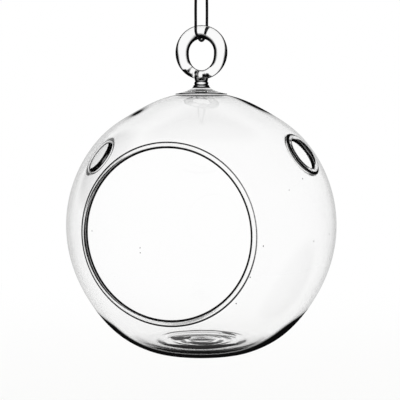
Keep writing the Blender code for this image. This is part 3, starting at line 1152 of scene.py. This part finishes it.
class PLANTER_OT_stem(Operator):
    """Turn the grooved stem and saddle it to the ring"""

    bl_idname = "planter.stem"
    bl_label = "Stem"

    def execute(self, context):
        neck = settings("neck")
        flare = neck.stem_foot_radius - neck.stem_radius
        profile = [(0.0, neck.stem_foot + neck.stem_height)]
        profile += [(neck.stem_radius + flare * widening - neck.stem_groove * groove,
                     neck.stem_foot + neck.stem_height * height)
                    for height, widening, groove in STEM_OUTLINE]
        profile.append((0.0, neck.stem_foot))
        stem = turned("stem_post", profile, STEM_SIDES)
        cut(stem, ring_band("saddle", neck.gap))
        weld(stem, STEM_NEARNESS)
        self.mark_edges(stem)
        finish_smooth(stem, blown_glass("stem"), PLANTER)
        stem.data.set_sharp_from_angle(angle=STEM_CREASE)
        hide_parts("stem")
        return {"FINISHED"}

    def mark_edges(self, stem):
        """Shade is painted darkest on the turned lines and the foot of the stem."""
        neck = settings("neck")
        edges = Edges(stem, neck.stem_foot, *STEM_EDGE)
        height = edges.spots[:, 2] / neck.stem_height
        for line in [share for share, _, groove in STEM_OUTLINE if groove]:
            edges.zone(peak(height, line, GROOVE_SPREAD), *GROOVE_EDGE)
        edges.zone(1.0 - eased(height, *STEM_FOOT_BAND), *GROOVE_EDGE)
        edges.mark()


class PLANTER_OT_ring(Operator):
    """Bend the glass ring that the cord runs through"""

    bl_idname = "planter.ring"
    bl_label = "Ring"

    def execute(self, context):
        ring = ring_band("bent_ring", 0.0)
        self.mark_edges(ring)
        finish_smooth(ring, blown_glass("ring"), PLANTER)
        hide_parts("hanging_ring")
        return {"FINISHED"}

    def mark_edges(self, ring):
        """Painted shade: the inner side darkens sooner than the outer, most under the cord, and
        black spots darken the ring's lower arc.
        """
        neck = settings("neck")
        edges = Edges(ring, neck.ring_centre, *ROD_EDGE)
        across, up = edges.spots[:, 0], edges.spots[:, 2]
        turn = np.abs(np.arctan2(across, up))
        rod = rod_radius(turn)
        turn = np.degrees(turn)
        inward = eased((neck.ring_radius - rod - np.hypot(across, up)) / rod, *ROD_INWARD)
        edges.zone(peak(turn, *ROD_SIDE), *ROD_SIDE_EDGE)
        edges.zone(inward, *INNER_ROD_EDGE)
        edges.zone(inward * peak(turn, *UNDER_CORD), *UNDER_CORD_EDGE)
        edges.zone(inward * eased(turn, *INNER_FOOT_BAND), *INNER_FOOT_EDGE)
        for spot_across, spot_up, spread in DARK_SPOT_PLACES:
            gap = np.hypot(across - spot_across, up - spot_up)
            edges.zone(np.exp(-(gap / spread) ** 4), *DARK_SPOT_EDGE)
        edges.mark()


# Stage

# What is left of light after two reflections, and how much later than the first most of it goes
REFLECTIONS_LEFT = 0.15
DIMMING_CURVE = 3.0
# What reflections show of the surroundings high and low, and how high that sets in
STEEP_LEFT = 0.80
STEEP_FADE = (0.30, 0.65)
# Light of the surroundings on a dull surface
SOFT_LIGHT = 0.55
FLOOR_RADIUS, FLOOR_SIDES = 2.5, 96
FLOOR_ROUGHNESS = 0.9
FLOOR_SWEEP = (0.40, 1.20)
# The dark patch of the floor: how far behind the planter it lies, where it fades, and its light
PATCH_BEHIND = 0.12
PATCH_FADE = (0.08, 0.16)
PATCH_LEFT = 0.05
# The black flag at the left, seen only in reflections: where it stands and where it fades
FLAG_SIDE = (-0.867, 0.221, 0.448)
FLAG_FADE = (0.90, 0.965)
# The lamps: name, place, spread in degrees and strength
LAMPS = (
    ("key_lamp", (-0.5, -0.6, 1.4), 35.0, 1.1),
    ("fill_lamp", (0.7, -0.2, 1.2), 50.0, 0.7),
)


class PLANTER_OT_stage(Operator):
    """Lay the floor, set the lamps and the pale surroundings"""

    bl_idname = "planter.stage"
    bl_label = "Stage"

    def execute(self, context):
        self.floor()
        for name, spot, spread, strength in LAMPS:
            self.lamp(name, spot, spread, strength)
        self.surroundings(context.scene)
        context.scene.view_settings.view_transform = "Standard"
        return {"FINISHED"}

    def reflected(self, tree):
        """The ray, whether glass reflected it, and how much light is left after each time."""
        path = node(tree, "ShaderNodeLightPath", "Ray")
        times = path.outputs["Glossy Depth"]
        once = worked_out(tree, "Reflected", "MINIMUM", times, 1.0)
        often = ranged(tree, "Reflected twice", times, high=2.0)
        curve = worked_out(tree, "First reflection dims less", "POWER", often, DIMMING_CURVE)
        left = ranged(tree, "Left after reflections", curve, to_low=1.0, to_high=REFLECTIONS_LEFT)
        return path, once, left

    def floor(self):
        """A pale floor that sweeps into the backdrop. Reflections show it with a dark patch."""
        stage = settings("stage")
        floor = added(bpy.ops.mesh.primitive_circle_add, "floor", vertices=FLOOR_SIDES,
                      radius=FLOOR_RADIUS, fill_type="NGON", location=upright(stage.floor_height))
        material, tree, shader, output = new_material("pale_floor")
        feed(tree, shader, {"Base Color": (*stage.floor_colour, 1.0),
                            "Roughness": FLOOR_ROUGHNESS, "Specular IOR Level": 0.0})
        _, once, left = self.reflected(tree)
        place = node(tree, "ShaderNodeTexCoord", "Place").outputs["Object"]
        off = node(tree, "ShaderNodeVectorMath", "Away from the patch",
                   {0: place, 1: direction(NEAR_SIDE, 0.0) * -PATCH_BEHIND}, operation="DISTANCE")
        patch = ranged(tree, "Dark patch", off.outputs["Value"], *PATCH_FADE, PATCH_LEFT,
                       curve="SMOOTHSTEP")
        dark = node(tree, "ShaderNodeEmission", "Below in reflections", {"Strength": patch})
        near = node(tree, "ShaderNodeMixShader", "Straight or reflected",
                    {"Fac": once, 1: shader.outputs["BSDF"], 2: dark.outputs["Emission"]})
        away = node(tree, "ShaderNodeVectorMath", "Away from the planter", {0: place},
                    operation="LENGTH")
        fade = ranged(tree, "Floor to backdrop", away.outputs["Value"], *FLOOR_SWEEP,
                      curve="SMOOTHSTEP")
        white = node(tree, "ShaderNodeEmission", "Backdrop white", {"Strength": left})
        sweep = node(tree, "ShaderNodeMixShader", "Floor sweeps into the backdrop",
                     {"Fac": fade, 1: near.outputs["Shader"], 2: white.outputs["Emission"]})
        feed(tree, output, {"Surface": sweep.outputs["Shader"]})
        floor.data.materials.append(material)

    def lamp(self, name, spot, spread, strength):
        """A broad soft lamp, far enough away to light the floor evenly."""
        toward = upright(settings("globe").centre) - Vector(spot)
        lamp = added(bpy.ops.object.light_add, name, type="SUN", location=spot,
                     rotation=toward.to_track_quat("-Z", "Y").to_euler())
        lamp.data.angle = math.radians(spread)
        lamp.data.energy = strength
        lamp.visible_glossy = False
        lamp.visible_transmission = False

    def surroundings(self, scene):
        """White to the eye and through glass. Reflections dim it high and low and show a flag."""
        world = bpy.data.worlds.new("pale_studio")
        scene.world = world
        world.use_nodes = True
        tree = world.node_tree
        tree.nodes.clear()
        path, once, left = self.reflected(tree)
        place = node(tree, "ShaderNodeTexCoord", "Direction").outputs["Generated"]
        split = node(tree, "ShaderNodeSeparateXYZ", "Height", {"Vector": place})
        size = worked_out(tree, "Height either way", "ABSOLUTE", split.outputs["Z"])
        fall = ranged(tree, "Backdrop to dim", size, *STEEP_FADE, 1.0, STEEP_LEFT, "SMOOTHSTEP")
        toward = node(tree, "ShaderNodeVectorMath", "Toward the flag", {0: place, 1: FLAG_SIDE},
                      operation="DOT_PRODUCT").outputs["Value"]
        flag = ranged(tree, "Black flag", toward, *FLAG_FADE, 1.0, 0.0, "SMOOTHSTEP")
        dim = worked_out(tree, "Backdrop or flag", "MULTIPLY", fall, flag)
        steep = mixed(tree, "Only in reflections", once, 1.0, dim)
        through = worked_out(tree, "Through glass", "MULTIPLY", steep, left)
        scattered = worked_out(tree, "From a dull surface", "GREATER_THAN",
                               path.outputs["Diffuse Depth"], 0.5)
        ambient = mixed(tree, "Surroundings or soft light", scattered, through, SOFT_LIGHT)
        white = mixed(tree, "White to the camera", path.outputs["Is Camera Ray"], ambient, 1.0)
        back = node(tree, "ShaderNodeBackground", "Surroundings", {"Color": white})
        node(tree, "ShaderNodeOutputWorld", "World", {"Surface": back.outputs["Background"]})


class PLANTER_PT_panel(Panel):
    """Buttons for each piece of the planter"""

    bl_label = "Hanging planter"
    bl_idname = "PLANTER_PT_panel"
    bl_space_type = "VIEW_3D"
    bl_region_type = "UI"
    bl_category = "Planter"

    def draw(self, context):
        for operator in OPERATORS:
            self.layout.operator(operator.bl_idname)
        for name, group in GROUPS.items():
            box = self.layout.box()
            box.label(text=name.capitalize())
            for key in group.__annotations__:
                box.prop(settings(name), key)


GROUPS = {
    "globe": GlobeSettings,
    "openings": OpeningSettings,
    "neck": NeckSettings,
    "cord": CordSettings,
    "glass": GlassSettings,
    "stage": StageSettings,
}
OPERATORS = (
    PLANTER_OT_camera,
    PLANTER_OT_cord,
    PLANTER_OT_globe,
    PLANTER_OT_crown,
    PLANTER_OT_stem,
    PLANTER_OT_ring,
    PLANTER_OT_stage,
)
CLASSES = (*GROUPS.values(), *OPERATORS, PLANTER_PT_panel)


def register():
    for kind in CLASSES:
        bpy.utils.register_class(kind)
    for name, group in GROUPS.items():
        setattr(bpy.types.Scene, "planter_" + name, PointerProperty(type=group))


def unregister():
    for name in GROUPS:
        delattr(bpy.types.Scene, "planter_" + name)
    for kind in reversed(CLASSES):
        bpy.utils.unregister_class(kind)


def main():
    register()
    bpy.ops.planter.camera()
    bpy.ops.planter.cord()
    bpy.ops.planter.globe()
    bpy.ops.planter.crown()
    bpy.ops.planter.stem()
    bpy.ops.planter.ring()
    bpy.ops.planter.stage()


if __name__ == "__main__":
    main()
